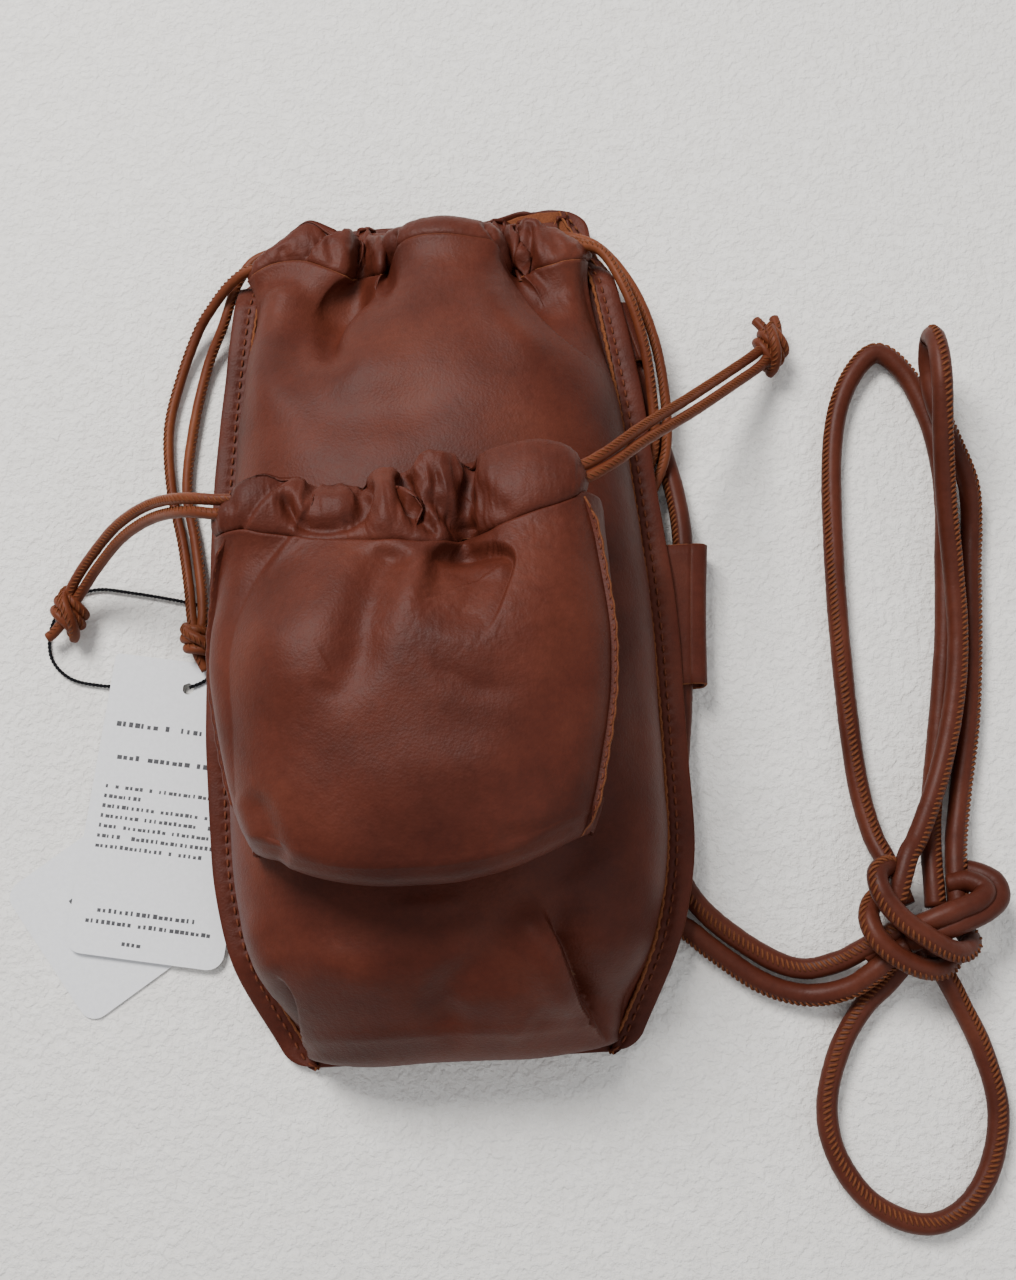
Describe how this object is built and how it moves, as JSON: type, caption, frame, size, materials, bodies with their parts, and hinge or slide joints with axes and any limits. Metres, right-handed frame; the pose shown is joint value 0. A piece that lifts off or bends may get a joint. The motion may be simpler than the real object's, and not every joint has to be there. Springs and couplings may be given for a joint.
{
  "type": "drawstring leather pouch",
  "caption": "Small brown leather drawstring shoulder pouch with a drawstring front pocket, rolled strap tied in a knot and two blank hang tags, lying on its back.",
  "frame": {"origin": "centre of the pouch's footprint, on the surface it lies on", "axes": "+Y towards the mouth, +Z out of the front (pocket) side, +X to the side where the strap lies"},
  "size_m": [0.3014, 0.3169, 0.0901],
  "materials": {
    "body_leather": "satin",
    "strap_leather": "satin",
    "drawstring_leather": "satin",
    "lining_fabric": "matte",
    "tag_string_cord": "matte",
    "tag_card": "matte"
  },
  "bodies": {
    "pouch": {"back_panel": "body_leather", "front_panel": "body_leather", "left_side_binding": "body_leather", "right_side_binding": "body_leather", "pocket_front": "body_leather", "pocket_back": "body_leather", "pocket_seam_left": "body_leather", "pocket_seam_right": "body_leather", "main_casing_front": "body_leather", "main_casing_back": "body_leather", "pocket_casing_front": "body_leather", "pocket_casing_back": "body_leather", "left_keeper": "body_leather", "right_keeper": "body_leather", "left_strap_tab": "body_leather", "right_strap_tab": "body_leather", "main_lining": "lining_fabric", "strap_right": "strap_leather", "strap_left": "strap_leather", "strap_loop_outer": "strap_leather", "strap_loop_inner": "strap_leather", "strap_end_loop": "strap_leather", "strap_knot": "strap_leather", "main_cord_right_front": "drawstring_leather", "main_cord_right_back": "drawstring_leather", "main_knot_right": "drawstring_leather"},
    "main_drawstring": {"main_cord_left_front": "drawstring_leather", "main_cord_left_back": "drawstring_leather", "main_knot_left": "drawstring_leather"},
    "pocket_drawstring_left": {"pocket_cord_left_front": "drawstring_leather", "pocket_cord_left_back": "drawstring_leather", "pocket_knot_left": "drawstring_leather", "tag_string": "tag_string_cord"},
    "pocket_drawstring_right": {"pocket_cord_right_front": "drawstring_leather", "pocket_cord_right_back": "drawstring_leather", "pocket_knot_right": "drawstring_leather"},
    "upper_tag": {"hang_tag_upper": "tag_card"},
    "lower_tag": {"hang_tag_lower": "tag_card"}
  },
  "joints": [
    {"name": "main_drawstring_pull", "type": "slide", "parent": "pouch", "child": "main_drawstring", "axis": [-1, 0, 0], "range_m": [0, 0.01]},
    {"name": "pocket_left_pull", "type": "slide", "parent": "pouch", "child": "pocket_drawstring_left", "axis": [-1, 0, 0], "range_m": [0, 0.01]},
    {"name": "pocket_right_pull", "type": "slide", "parent": "pouch", "child": "pocket_drawstring_right", "axis": [1, 0, 0], "range_m": [0, 0.01]},
    {"name": "upper_tag_swing", "type": "hinge", "parent": "pocket_drawstring_left", "child": "upper_tag", "pos_m": [-0.08419, -0.0166, 0.0018], "axis": [0, 0, 1], "range_deg": [-30, 5]},
    {"name": "lower_tag_swing", "type": "hinge", "parent": "pocket_drawstring_left", "child": "lower_tag", "pos_m": [-0.05899, -0.0505, 0.0001], "axis": [0, 0, 1], "range_deg": [-12, 12]}
  ]
}
